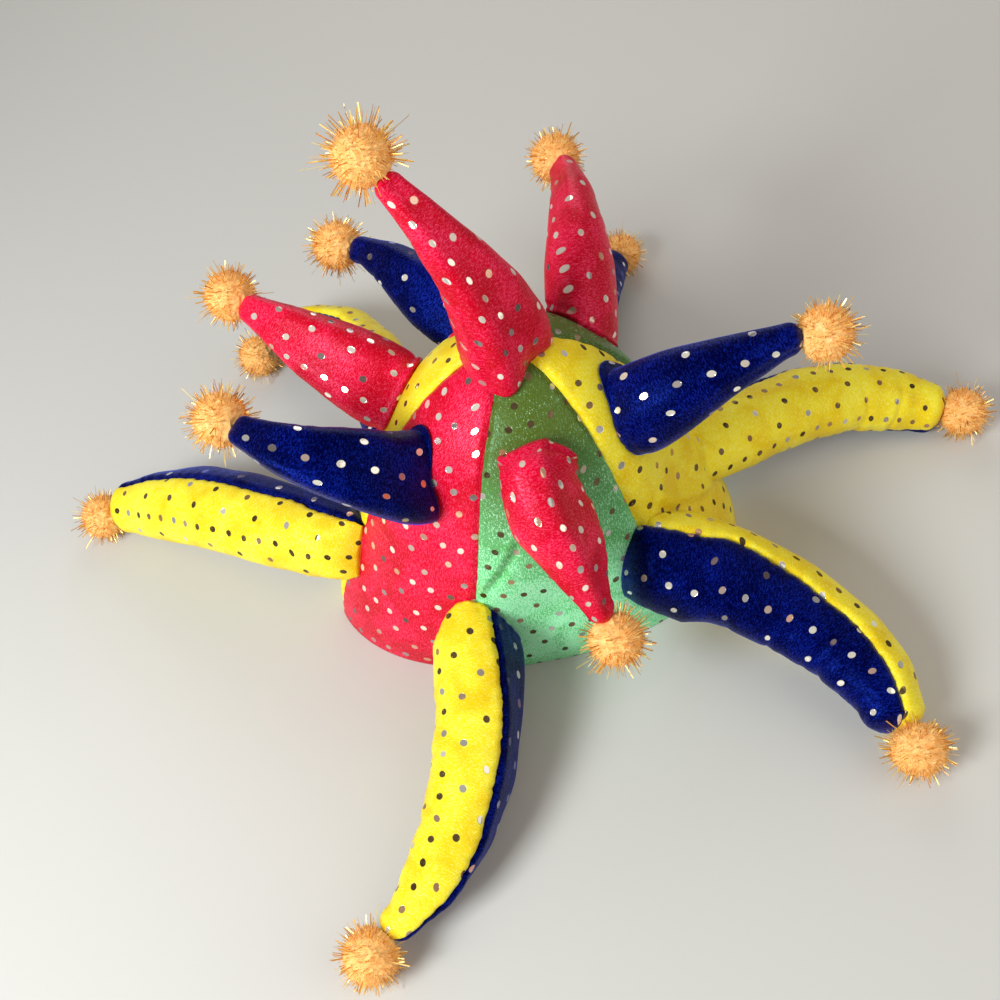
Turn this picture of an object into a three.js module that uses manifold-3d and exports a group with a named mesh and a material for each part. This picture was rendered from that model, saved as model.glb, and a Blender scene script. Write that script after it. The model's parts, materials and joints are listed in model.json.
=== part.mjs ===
import * as THREE from 'three';
import { mergeVertices } from 'three/addons/utils/BufferGeometryUtils.js';
import Module from 'manifold-3d';

const wasm = await Module();
wasm.setup();

// Driving dimensions of the crown, in millimetres
const RIM_WIDTH = 220;
const RIM_DEPTH = 138;
const CROWN_HEIGHT = 162;
const CROWN_LEAN = 5;
const CLOTH_THICKNESS = 2;
const SEAM_GAP = 0.3;
const SEAT_GAP = 0.3;

// Driving dimensions of the horns and the pompoms, in millimetres
const LOWER_HORN_LENGTH = 160;
const LOWER_HORN_WIDTH = 43;
const UPPER_HORN_LENGTH = 90;
const UPPER_HORN_WIDTH = 44;
const TOP_HORN_LENGTH = 107;
const TOP_HORN_WIDTH = 50;
const POMPOM_CORE_DIAMETER = 25;
const POMPOM_LOCK_LENGTH = 6.5;

// Bearings are in degrees from the front (-Y) towards the right (+X)
const GORE_COUNT = 6;
const GORE_ANGLE = 360 / GORE_COUNT;
const FRONT_SEAM_BEARING = -25;

// Where the top horn is sewn on: its height as a share of the crown's height, and how far
// forward of the apex, as a share of its own width
const TOP_SEAT_HEIGHT = 0.95;
const TOP_SEAT_FORWARD = 0.1;

// Where a horn starts inside the crown's surface, as a share of its own width
const ROOT_DEPTH = 0.6;
// How far a pompom's centre lies past the horn's tip, as a share of its core's radius
const POMPOM_REACH = 0.85;
// How far the locks under a lying pompom are still out, as a share of their length
const LOCK_STAND = 0.4;
// How soon a lower horn comes down to the height of its pompom
const SETTLING = 1.25;
// How the crown's lean grows with height
const LEAN_POWER = 1.5;

// Mesh fineness
const GORE_COLUMNS = 7;
const HORN_SIDES = 12;
const SPINE_STEPS = 40;
const TIP_RINGS = 2;
const POMPOM_DETAIL = 1;
const LOCK_LENGTHS = 5;
const LOCK_VARIETY = 0.35;
const MERGE_DISTANCE = 0.001;

// The crown's outline, from the rim to the apex, as shares of its height, width and depth
const CROWN_SECTIONS = [
  { height: 0.0, width: 1.0, depth: 1.0 },
  { height: 0.1, width: 0.975, depth: 1.02 },
  { height: 0.2, width: 0.92, depth: 1.03 },
  { height: 0.31, width: 0.83, depth: 1.02 },
  { height: 0.43, width: 0.755, depth: 0.985 },
  { height: 0.55, width: 0.685, depth: 0.93 },
  { height: 0.66, width: 0.605, depth: 0.855 },
  { height: 0.76, width: 0.515, depth: 0.755 },
  { height: 0.85, width: 0.41, depth: 0.62 },
  { height: 0.92, width: 0.29, depth: 0.45 },
  { height: 0.975, width: 0.155, depth: 0.25 },
  { height: 1.0, width: 0.045, depth: 0.07 },
];

// Hollows in the soft crown; depth and the reach up are shares of the crown's height
const CROWN_DENTS = [
  { bearing: -2, height: 0.3, halfAngle: 12, reach: 0.12, depth: 0.03 },
  { bearing: 22, height: 0.62, halfAngle: 12, reach: 0.2, depth: 0.03 },
  { bearing: -42, height: 0.6, halfAngle: 14, reach: 0.16, depth: 0.025 },
  { bearing: 64, height: 0.5, halfAngle: 12, reach: 0.16, depth: 0.02 },
  { bearing: 130, height: 0.5, halfAngle: 18, reach: 0.2, depth: 0.03 },
  { bearing: -140, height: 0.55, halfAngle: 18, reach: 0.2, depth: 0.03 },
];

// The gores in order round the crown, the first one starting at the front seam
const GORES = [
  { name: 'gore_green_front', color: 'green' },
  { name: 'gore_yellow_right', color: 'yellow' },
  { name: 'gore_green_back_right', color: 'green' },
  { name: 'gore_red_back', color: 'red' },
  { name: 'gore_yellow_back_left', color: 'yellow' },
  { name: 'gore_red_front_left', color: 'red' },
];

// Outline of each kind of horn: width as a share of its greatest width, along its length,
// and thickness as a share of the width there
const LOWER_OUTLINE = [
  { along: 0.0, width: 0.96, thickness: 0.92 },
  { along: 0.14, width: 1.0, thickness: 0.9 },
  { along: 0.3, width: 1.0, thickness: 0.87 },
  { along: 0.48, width: 0.98, thickness: 0.84 },
  { along: 0.7, width: 0.89, thickness: 0.82 },
  { along: 0.88, width: 0.73, thickness: 0.86 },
  { along: 1.0, width: 0.5, thickness: 0.95 },
];
const UPPER_OUTLINE = [
  { along: 0.0, width: 0.97, thickness: 0.72 },
  { along: 0.15, width: 1.0, thickness: 0.76 },
  { along: 0.35, width: 0.92, thickness: 0.8 },
  { along: 0.55, width: 0.76, thickness: 0.84 },
  { along: 0.78, width: 0.55, thickness: 0.92 },
  { along: 1.0, width: 0.34, thickness: 1.0 },
];
const PLUMP_OUTLINE = [
  { along: 0.0, width: 0.82, thickness: 0.72 },
  { along: 0.15, width: 0.94, thickness: 0.76 },
  { along: 0.35, width: 1.0, thickness: 0.78 },
  { along: 0.58, width: 0.92, thickness: 0.82 },
  { along: 0.8, width: 0.7, thickness: 0.9 },
  { along: 1.0, width: 0.42, thickness: 1.0 },
];
const TOP_OUTLINE = [
  { along: 0.0, width: 0.98, thickness: 0.9 },
  { along: 0.16, width: 1.0, thickness: 0.86 },
  { along: 0.35, width: 0.86, thickness: 0.85 },
  { along: 0.55, width: 0.65, thickness: 0.85 },
  { along: 0.78, width: 0.44, thickness: 0.9 },
  { along: 1.0, width: 0.26, thickness: 1.0 },
];

// Lower horns over the seams. Left and right are as seen from the crown, and the seat is a
// share of the crown's height. Length and plump are shares of the horn's length and width, and
// arch, a share of its width, lifts the middle. Sway is the heading off the seam's bearing at
// the start, the middle and the end. The horn's own seam turns round it by an angle, given at
// the root and at the tip
const LOWER_HORNS = [
  { name: 'front', seam: 0, seat: 0.24, left: 'blue', right: 'yellow',
    length: 0.95, plump: 1, sway: [22, 2, -38], arch: 0, seamTurn: [-20, -75] },
  { name: 'right_front', seam: 1, seat: 0.31, left: 'yellow', right: 'blue',
    length: 0.91, plump: 1, sway: [34, 14, -46], arch: 0, seamTurn: [0, 0] },
  { name: 'right', seam: 2, seat: 0.31, left: 'blue', right: 'yellow',
    length: 0.96, plump: 1, sway: [20, 8, -44], arch: 0.1, seamTurn: [-45, -50] },
  { name: 'back_right', seam: 3, seat: 0.31, left: 'yellow', right: 'blue',
    length: 0.94, plump: 1, sway: [14, 6, -14], arch: 0, seamTurn: [0, 0] },
  { name: 'back_left', seam: 4, seat: 0.34, left: 'blue', right: 'yellow',
    length: 1.1, plump: 1, sway: [-22, -12, 60], arch: 0.3, seamTurn: [0, 0] },
  { name: 'left', seam: 5, seat: 0.31, left: 'yellow', right: 'blue',
    length: 1.05, plump: 1.12, sway: [-34, -42, -20], arch: 0.12, seamTurn: [14, 20] },
];

// Upper horns on the middle of the gores. Sway is the heading off the gore's bearing and rise
// the angle up, each at the start, the middle and the end; roll turns the flat section
const UPPER_HORNS = [
  { name: 'front', gore: 0, seat: 0.76, color: 'red',
    length: 0.84, sway: [-8, 10, 38], rise: [0, -60, -40], roll: 0, outline: PLUMP_OUTLINE },
  { name: 'right', gore: 1, seat: 0.74, color: 'blue',
    length: 0.92, sway: [2, 20, 32], rise: [40, 20, 0], roll: 30, outline: UPPER_OUTLINE },
  { name: 'back_right', gore: 2, seat: 0.76, color: 'red',
    length: 1.18, sway: [44, 50, 64], rise: [40, 18, -18], roll: 60, outline: UPPER_OUTLINE },
  { name: 'back_left', gore: 3, seat: 0.76, color: 'blue',
    length: 1.0, sway: [50, 30, 50], rise: [10, 12, -10], roll: 0, outline: UPPER_OUTLINE },
  { name: 'left', gore: 4, seat: 0.74, color: 'red',
    length: 1.02, sway: [0, -14, -28], rise: [38, 20, 0], roll: -30, outline: UPPER_OUTLINE },
  { name: 'left_front', gore: 5, seat: 0.7, color: 'blue',
    length: 1.1, sway: [-6, -48, -92], rise: [58, 26, -12], roll: -30, outline: UPPER_OUTLINE },
];

// The top horn on the apex; its sway is off the front
const TOP_HORN = { color: 'red', sway: [-88, -104, -138], rise: [87, 67, 42], roll: 0 };

const MATERIALS = {
  red: { color: 0xc8102e, roughness: 0.7, metalness: 0 },
  green: { color: 0x2f9e4f, roughness: 0.6, metalness: 0 },
  yellow: { color: 0xf2cf2a, roughness: 0.75, metalness: 0 },
  blue: { color: 0x0c1c8c, roughness: 0.65, metalness: 0 },
  tinsel: { color: 0xe09a45, roughness: 0.35, metalness: 0.6 },
};

const radians = THREE.MathUtils.degToRad;

// A quadratic through a value at the start, the middle and the end
function bend([start, middle, end], along) {
  const first = (1 - along) * (1 - 2 * along);
  const second = 4 * along * (1 - along);
  const third = along * (2 * along - 1);
  return first * start + second * middle + third * end;
}

// The crown's width or depth, as a share, at a height share between two sections
function crownShare(height, name) {
  const next = CROWN_SECTIONS.findIndex((section) => section.height >= height);
  const to = CROWN_SECTIONS[Math.max(next, 1)];
  const from = CROWN_SECTIONS[Math.max(next, 1) - 1];
  const share = (height - from.height) / (to.height - from.height);
  return THREE.MathUtils.lerp(from[name], to[name], share);
}

// How deep the dents are at a bearing and a height share, in millimetres
function dentDepth(bearing, height) {
  let depth = 0;
  for (const dent of CROWN_DENTS) {
    const turn = THREE.MathUtils.euclideanModulo(bearing - dent.bearing + 180, 360) - 180;
    const climb = (height - dent.height) / dent.reach;
    depth += dent.depth * CROWN_HEIGHT * Math.exp(-((turn / dent.halfAngle) ** 2) - climb ** 2);
  }
  return depth;
}

// How far the crown leans to the right at a height share
function leanAt(height) {
  return CROWN_LEAN * height ** LEAN_POWER;
}

// A point of the crown at a bearing and a height share, moved in or out by an offset
function crownPoint(bearing, height, offset) {
  const angle = radians(bearing);
  const dent = dentDepth(bearing, height);
  const halfWidth = crownShare(height, 'width') * RIM_WIDTH / 2 + offset - dent;
  const halfDepth = crownShare(height, 'depth') * RIM_DEPTH / 2 + offset - dent;
  return new THREE.Vector3(
    leanAt(height) + halfWidth * Math.sin(angle),
    -halfDepth * Math.cos(angle),
    height * (CROWN_HEIGHT + offset),
  );
}

// The bearing moved sideways by a distance along the crown's surface
function shiftedBearing(bearing, height, offset, distance) {
  const ahead = crownPoint(bearing + 1, height, offset);
  const behind = crownPoint(bearing - 1, height, offset);
  return bearing + 2 * distance / ahead.distanceTo(behind);
}

// An indexed geometry from points and faces given by index
function indexed(points, faces) {
  const geometry = new THREE.BufferGeometry();
  const numbers = points.flatMap((point) => point.toArray());
  geometry.setAttribute('position', new THREE.Float32BufferAttribute(numbers, 3));
  geometry.setIndex(faces.flat());
  return geometry;
}

// Faces between two rows of a closed or an open strip, the second row lying past the first;
// each four-sided face is split along one diagonal or, when mirrored, along the other
function strip(first, second, faces, closed, mirrored = false) {
  const count = first.length;
  for (let i = 0; i < (closed ? count : count - 1); i++) {
    const j = (i + 1) % count;
    const [from, to] = mirrored ? [first[j], second[i]] : [first[i], second[j]];
    faces.push([first[i], first[j], to], [from, second[j], second[i]]);
  }
}

// A closed body lofted through rings of equal size, with a point at each end
function loft(rings, startPoint, endPoint, mirrored = false) {
  const points = [startPoint, ...rings.flat(), endPoint];
  const size = rings[0].length;
  const index = rings.map((ring, r) => ring.map((point, i) => 1 + r * size + i));
  const faces = [];
  for (let i = 0; i < size; i++) {
    const j = (i + 1) % size;
    faces.push([0, index[0][j], index[0][i]]);
    faces.push([points.length - 1, index.at(-1)[i], index.at(-1)[j]]);
  }
  for (let r = 1; r < rings.length; r++) {
    strip(index[r - 1], index[r], faces, true, mirrored);
  }
  return indexed(points, faces);
}

// A geometry with shared corners and nothing but their places
function bareGeometry(geometry) {
  const bare = geometry.clone();
  bare.deleteAttribute('normal');
  bare.deleteAttribute('uv');
  return mergeVertices(bare, MERGE_DISTANCE);
}

// Change between a three.js geometry and a solid that can be cut
function toSolid(geometry) {
  const merged = bareGeometry(geometry);
  const vertProperties = new Float32Array(merged.attributes.position.array);
  const triVerts = new Uint32Array(merged.index.array);
  return new wasm.Manifold(new wasm.Mesh({ numProp: 3, vertProperties, triVerts }));
}

function toGeometry(solid) {
  const mesh = solid.getMesh();
  const geometry = new THREE.BufferGeometry();
  geometry.setAttribute('position', new THREE.Float32BufferAttribute(mesh.vertProperties, 3));
  geometry.setIndex(Array.from(mesh.triVerts));
  return geometry;
}

// One gore: a curved wall of cloth between two seams, from the rim to the apex
function goreGeometry(number) {
  const heights = CROWN_SECTIONS.map((section) => section.height);
  const startBearing = FRONT_SEAM_BEARING + number * GORE_ANGLE;
  const points = [];
  const grids = [0, -CLOTH_THICKNESS].map((offset) => heights.map((height) => {
    const start = shiftedBearing(startBearing, height, offset, SEAM_GAP / 2);
    const end = shiftedBearing(startBearing + GORE_ANGLE, height, offset, -SEAM_GAP / 2);
    return Array.from({ length: GORE_COLUMNS + 1 }, (_, i) => {
      points.push(crownPoint(THREE.MathUtils.lerp(start, end, i / GORE_COLUMNS), height, offset));
      return points.length - 1;
    });
  }));
  const faces = [];
  const [outer, inner] = grids;
  for (let row = 1; row < heights.length; row++) {
    strip(outer[row - 1], outer[row], faces, false);
    strip(inner[row], inner[row - 1], faces, false);
  }
  strip(inner[0], outer[0], faces, false);
  strip(outer.at(-1), inner.at(-1), faces, false);
  strip(outer.map((row) => row[0]), inner.map((row) => row[0]), faces, false);
  strip(inner.map((row) => row.at(-1)), outer.map((row) => row.at(-1)), faces, false);
  return indexed(points, faces);
}

// The whole crown as a filled body, grown by the gap that the sewn-on pieces keep
function crownFiller() {
  const rings = CROWN_SECTIONS.map((section) => {
    return Array.from({ length: GORE_COUNT * GORE_COLUMNS }, (_, i) => {
      const bearing = FRONT_SEAM_BEARING + i * GORE_ANGLE / GORE_COLUMNS;
      return crownPoint(bearing, section.height, SEAT_GAP);
    });
  });
  const top = new THREE.Vector3(leanAt(1), 0, rings.at(-1)[0].z);
  return toSolid(loft(rings, new THREE.Vector3(), top));
}

// The line through a horn, from its seat on the crown to its tip. The side of its section
// starts level, rolled by an angle, and is carried along without twisting
function spineOf(seat, length, directionAt, roll) {
  const spine = [];
  const point = seat.clone();
  const first = directionAt(0).normalize();
  const side = new THREE.Vector3(-first.y, first.x, 0).normalize().applyAxisAngle(first, radians(roll));
  for (let i = 0; i <= SPINE_STEPS; i++) {
    const step = directionAt(i / SPINE_STEPS);
    const forward = step.clone().normalize();
    side.addScaledVector(forward, -side.dot(forward)).normalize();
    spine.push({ point: point.clone(), forward, side: side.clone() });
    point.addScaledVector(step, length / SPINE_STEPS);
  }
  return spine;
}

// The direction at a heading and an angle up, both in degrees
function direction(heading, rise) {
  const level = Math.cos(radians(rise));
  return new THREE.Vector3(
    Math.sin(radians(heading)) * level,
    -Math.cos(radians(heading)) * level,
    Math.sin(radians(rise)),
  );
}

// The frame at a share of a horn's length; side is its left as seen from the crown
function frameAt(spine, along) {
  const position = THREE.MathUtils.clamp(along, 0, 1) * SPINE_STEPS;
  const before = Math.min(Math.floor(position), SPINE_STEPS - 1);
  const from = spine[before];
  const to = spine[before + 1];
  const center = from.point.clone().lerp(to.point, position - before);
  const forward = from.forward.clone().lerp(to.forward, position - before).normalize();
  const side = from.side.clone().lerp(to.side, position - before);
  side.addScaledVector(forward, -side.dot(forward)).normalize();
  return { center, forward, side, up: forward.clone().cross(side) };
}

// Where a horn has its rings: one for each row of its outline, then those that round the tip
function ringPlaces({ outline, tipRadius, length }) {
  const shoulder = 1 - tipRadius / length;
  const places = outline.map((row) => ({ along: row.along * shoulder, row, full: 1 }));
  for (let i = 1; i <= TIP_RINGS; i++) {
    const angle = i / (TIP_RINGS + 1) * Math.PI / 2;
    const along = shoulder + Math.sin(angle) * tipRadius / length;
    places.push({ along, row: outline.at(-1), full: Math.cos(angle) });
  }
  return places;
}

// A horn's body round its spine. The angles are the stretch of the section that it covers,
// inset keeps a half off the seam between the halves, and grow is added all round
function hornGeometry(horn, angles, inset, grow) {
  const sections = ringPlaces(horn).map(({ along, row, full }) => {
    const { center, side, up } = frameAt(horn.spine, along);
    const halfWidth = row.width * horn.width / 2 * full + grow;
    const halfThickness = halfWidth * row.thickness;
    const turn = radians(horn.seamTurnAt(along));
    const offSeam = new THREE.Vector2(halfThickness * Math.cos(turn), halfWidth * Math.sin(turn));
    offSeam.setLength(inset);
    const shift = side.clone().multiplyScalar(offSeam.x).addScaledVector(up, offSeam.y);
    const ring = angles.map((angle) => center.clone().add(shift)
      .addScaledVector(side, halfWidth * Math.cos(angle + turn))
      .addScaledVector(up, halfThickness * Math.sin(angle + turn)));
    return { ring, shift };
  });
  const rings = sections.map((section) => section.ring);
  const root = frameAt(horn.spine, 0);
  const tip = frameAt(horn.spine, 1);
  const rootShift = root.forward.clone().multiplyScalar(-ROOT_DEPTH * horn.width);
  rings.unshift(rings[0].map((point) => point.clone().add(rootShift)));
  const startPoint = root.center.clone().add(rootShift).add(sections[0].shift);
  const endPoint = tip.center.clone().addScaledVector(tip.forward, grow).add(sections.at(-1).shift);
  return loft(rings, startPoint, endPoint, inset < 0);
}

// Angles round a section, from one angle to another
function arcAngles(from, to, steps) {
  return Array.from({ length: steps + 1 }, (_, i) => radians(THREE.MathUtils.lerp(from, to, i / steps)));
}

const WHOLE_SECTION = arcAngles(0, 360, HORN_SIDES).slice(0, HORN_SIDES);
const LEFT_SECTION = arcAngles(-90, 90, HORN_SIDES / 2);
const RIGHT_SECTION = arcAngles(90, 270, HORN_SIDES / 2);

// A ball of locks: each face of the core carries one, and those under it lie on the ground
function pompomGeometry(center) {
  const radius = POMPOM_CORE_DIAMETER / 2;
  const core = bareGeometry(new THREE.IcosahedronGeometry(radius, POMPOM_DETAIL));
  const corners = core.attributes.position;
  const points = [];
  for (let i = 0; i < corners.count; i++) {
    points.push(new THREE.Vector3().fromBufferAttribute(corners, i));
  }
  const faces = [];
  for (let i = 0; i < core.index.count; i += 3) {
    const [a, b, c] = [0, 1, 2].map((k) => core.index.getX(i + k));
    const lockLength = POMPOM_LOCK_LENGTH * (1 - LOCK_VARIETY * (i / 3 % LOCK_LENGTHS) / LOCK_LENGTHS);
    const tip = points[a].clone().add(points[b]).add(points[c]).setLength(radius + lockLength);
    points.push(tip);
    const last = points.length - 1;
    faces.push([a, b, last], [b, c, last], [c, a, last]);
  }
  for (const point of points) {
    point.add(center);
    point.z = Math.max(point.z, 0);
  }
  return indexed(points, faces);
}

// Build the hat
const hat = new THREE.Group();
const filler = crownFiller();

function addMesh(name, geometry, color) {
  geometry.computeVertexNormals();
  const mesh = new THREE.Mesh(geometry, new THREE.MeshStandardMaterial(MATERIALS[color]));
  mesh.name = name;
  hat.add(mesh);
}

// A piece of a horn, cut to sit on the crown
function seated(geometry) {
  return toGeometry(toSolid(geometry).subtract(filler));
}

// The pompom at a horn's tip, with a hollow where the tip goes in
function addPompom(name, horn) {
  const tip = frameAt(horn.spine, 1);
  const reach = POMPOM_REACH * POMPOM_CORE_DIAMETER / 2;
  const center = tip.center.clone().addScaledVector(tip.forward, reach);
  const socket = toSolid(hornGeometry(horn, WHOLE_SECTION, 0, SEAT_GAP));
  addMesh(name, toGeometry(toSolid(pompomGeometry(center)).subtract(socket)), 'tinsel');
}

// A lower horn lies on its pompom: it comes down from its seat to the height of the pompom
function addLowerHorn(row) {
  const bearing = FRONT_SEAM_BEARING + row.seam * GORE_ANGLE;
  const seat = crownPoint(bearing, row.seat, 0);
  const length = row.length * LOWER_HORN_LENGTH;
  const width = row.plump * LOWER_HORN_WIDTH;
  const restHeight = POMPOM_CORE_DIAMETER / 2 + LOCK_STAND * POMPOM_LOCK_LENGTH;
  const directionAt = (along) => {
    const fall = -SETTLING * (seat.z - restHeight) * (1 - along) ** (SETTLING - 1);
    const lift = row.arch * width * Math.PI * Math.sin(2 * Math.PI * along);
    return direction(bearing + bend(row.sway, along), 0).setZ((fall + lift) / length);
  };
  const horn = {
    spine: spineOf(seat, length, directionAt, 0),
    outline: LOWER_OUTLINE,
    tipRadius: LOWER_OUTLINE.at(-1).width * width / 2,
    seamTurnAt: (along) => THREE.MathUtils.lerp(...row.seamTurn, along),
    length,
    width,
  };
  const leftHalf = hornGeometry(horn, LEFT_SECTION, SEAM_GAP / 2, 0);
  const rightHalf = hornGeometry(horn, RIGHT_SECTION, -SEAM_GAP / 2, 0);
  addMesh(`lower_horn_${row.name}_${row.left}`, seated(leftHalf), row.left);
  addMesh(`lower_horn_${row.name}_${row.right}`, seated(rightHalf), row.right);
  addPompom(`pompom_lower_${row.name}`, horn);
}

// A horn of one colour, which stands up or hangs off its seat by its own stuffing
function addPlainHorn(names, seat, bearing, row, outline, length, width) {
  const directionAt = (along) => direction(bearing + bend(row.sway, along), bend(row.rise, along));
  const horn = {
    spine: spineOf(seat, length, directionAt, row.roll),
    outline,
    tipRadius: outline.at(-1).width * width / 2,
    seamTurnAt: () => 0,
    length,
    width,
  };
  addMesh(names.horn, seated(hornGeometry(horn, WHOLE_SECTION, 0, 0)), row.color);
  addPompom(names.pompom, horn);
}

function addUpperHorn(row) {
  const bearing = FRONT_SEAM_BEARING + (row.gore + 0.5) * GORE_ANGLE;
  const names = { horn: `upper_horn_${row.name}`, pompom: `pompom_upper_${row.name}` };
  const seat = crownPoint(bearing, row.seat, 0);
  const length = row.length * UPPER_HORN_LENGTH;
  addPlainHorn(names, seat, bearing, row, row.outline, length, UPPER_HORN_WIDTH);
}

function addTopHorn() {
  const names = { horn: 'top_horn', pompom: 'pompom_top' };
  const forward = -TOP_SEAT_FORWARD * TOP_HORN_WIDTH;
  const seat = new THREE.Vector3(leanAt(1), forward, TOP_SEAT_HEIGHT * CROWN_HEIGHT);
  addPlainHorn(names, seat, 0, TOP_HORN, TOP_OUTLINE, TOP_HORN_LENGTH, TOP_HORN_WIDTH);
}

GORES.forEach(({ name, color }, number) => addMesh(name, goreGeometry(number), color));
LOWER_HORNS.forEach(addLowerHorn);
UPPER_HORNS.forEach(addUpperHorn);
addTopHorn();

// The origin is under the middle of the hat's box, on the surface that it stands on
const box = new THREE.Box3().setFromObject(hat, true);
const middle = box.getCenter(new THREE.Vector3());
hat.position.set(-middle.x, -middle.y, -box.min.z);

export default hat;
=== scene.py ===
"""The looks of the jester hat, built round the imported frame. Metres, +Z up, the crown's front towards -Y."""

import json
import math

import bmesh
import bpy
import numpy as np
from mathutils import Matrix, Quaternion, Vector, geometry, noise
from mathutils.bvhtree import BVHTree


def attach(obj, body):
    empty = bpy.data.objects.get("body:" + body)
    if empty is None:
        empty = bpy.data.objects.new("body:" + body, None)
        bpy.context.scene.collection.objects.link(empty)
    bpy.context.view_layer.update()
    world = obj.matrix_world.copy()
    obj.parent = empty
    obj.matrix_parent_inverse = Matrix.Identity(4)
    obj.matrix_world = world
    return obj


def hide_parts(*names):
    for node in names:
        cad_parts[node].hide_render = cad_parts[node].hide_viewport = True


MM = 0.001
# What keeps a division from zero, and a place from lying on the last step
TINY = 1e-12
JUST_UNDER = 0.001

# The camera, as the photograph was taken
CAMERA_PLACE = (-0.0147, -0.3957, 0.5281)
CAMERA_DOWN = 50.68
CAMERA_ROLL = -12.8
CAMERA_LENS = 43.2
CAMERA_FORWARD = (0.0, math.cos(math.radians(CAMERA_DOWN)), -math.sin(math.radians(CAMERA_DOWN)))

# The crown's surface is measured from the middle of its rim, at every degree
CROWN_AZIMUTHS = 360
CROWN_ELEVATIONS = 90
CROWN_REACH = 0.4
CROWN_RAY_SHIFTS = (0, -0.4, 0.4)
CROWN_STEP_IN = 0.8
CROWN_SMOOTHING = 3.0
SEAM_STEP = 3
SEAM_WINDOW = 14
SEAM_SEARCHES = 8
SEAM_CURVE_DEGREE = 5
SEAM_TOP_ELEVATION = 84
GORE_TOP_ELEVATION = 86

# The gores' cloth
CLOTH = 1.6 * MM
GORE_ROWS = 130
GORE_COLUMNS = 64
SEAM_HALF_GAP = 0.1 * MM
SEAM_TUCK = 1.5 * MM
SEAM_TUCK_WIDTH = 1.8 * MM
PUCKER_HEIGHT = 0.55 * MM
PUCKER_LENGTH = 7.5 * MM
PUCKER_REACH = 7 * MM
PUCKER_WANDER = 2.5
RIPPLE_SHARPNESS = 1.5
GORE_WANDER_LENGTH = 14 * MM
GORE_WAVE = 1.1 * MM
GORE_WAVE_LENGTH = 34 * MM
GORE_LEVEL_LEAST = 4 * MM
GORE_CLOTH_SHIFT = 35.0
SEAM_CROWDING = 0.12

# Folds that the photograph shows in the crown: the azimuth and elevation of the middle and the
# heading off level, in degrees, then the length, the width and the height, in millimetres. A fold
# is a ridge with a groove beside it, and a puff is round
CROWN_FOLDS = (
    (-18, 50, 53, 32, 2.4, 2.6),
    (66, 36, -46, 62, 3.6, 2.8),
)
CROWN_PUFFS = (
    (84, 38, 17, 5.0),
)

# The horns' tubes are measured by sections across them
SECTION_STEP = 3 * MM
SECTION_ANGLES = 48
SECTION_GAP = 55
SECTION_POINTS_LEAST = 6
SECTION_FACING_LEAST = 1e-6
SECTION_SMOOTHING = 1.2
SEAT_NEAR = 0.8 * MM
TUBE_STEP = 1 * MM
TUBE_SMOOTHING = 4
ROOT_EXTENSION = 34 * MM
ROOT_BEND_STEPS = (5, 17)
ROOT_GROWTHS = (-1.0, 0.0, 1.0, 2.0, 3.5, 5.0, 7.0)
ROOT_NARROWINGS = (-0.1, 0.0, 0.1, 0.2, 0.35)
ROOT_FIT_ANGLES = 20
ROOT_FIT_CLEAR = 1.5 * MM
BASE_SMOOTHING = 1.5
HORN_ROW_STEP = 1.5 * MM
HORN_ROWS_LEAST = 8
EDGE_ROWS = (0.0, 0.1, 0.35, 0.7)
EDGE_TURN = 1.6 * MM
EDGE_TURN_MOST = 9 * MM
BASE_BACK_MOST = 24 * MM
EDGE_THICK = 1.7 * MM
HORN_CAP_ROWS = 9
HORN_COLUMNS = 64
HORN_HALF_COLUMNS = 34
HORN_WALL_COLUMNS = 3
HALF_HORN_GAP = 0.006
HALF_HORN_CROWDING = 0.09
HORN_CLOTH_SHIFT = (37.0, 23.0)
HORN_SINK = 0.4 * MM

# How much fuller a horn's cloth is than its solid, and how far it lies to the right of it, looking
# along the horn as the photograph shows it, in millimetres at even steps from the root to the tip
HORN_FITS = {
    "lower_horn_front": ((2.5, 1.5, 0.5, 0.0, -1.0), (-2.5, -1.5, -0.5, 0.0, 1.5)),
    "lower_horn_right_front": ((7.5, 7.0, 6.0, 5.5, 5.0), (-0.5, 2.5, 5.5, 6.5, 7.0)),
    "lower_horn_right": ((0.0, 2.0, 4.5), (0.0, 1.5, 3.5)),
    "lower_horn_left": ((-1.5, 2.5, 4.0), (2.5, 4.5, 4.0)),
    "lower_horn_back_left": ((-2.0, 0.5, 7.0), (-9.0, -4.0, 7.0)),
    "lower_horn_back_right": ((0.0, 2.0, 4.0), (0.0, 0.0, 0.0)),
    "upper_horn_back_right": ((0.0, 0.0, 0.0), (-6.0, -4.0, 0.0)),
    "upper_horn_front": ((1.0, -2.5, -2.5, -2.0, -1.0), (0.0, -4.5, -4.5, -3.5, -2.0)),
    "upper_horn_right": ((3.0, 0.5, 0.5), (-2.5, -3.5, -3.5)),
}
# How far the seams of a lower horn are turned round it, in degrees at the root, the middle and the tip
SEAM_TURNS = {"lower_horn_right_front": (-16, -7, 0), "lower_horn_front": (-8, -3, 0)}
NO_TURN = (0, 0, 0)

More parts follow.
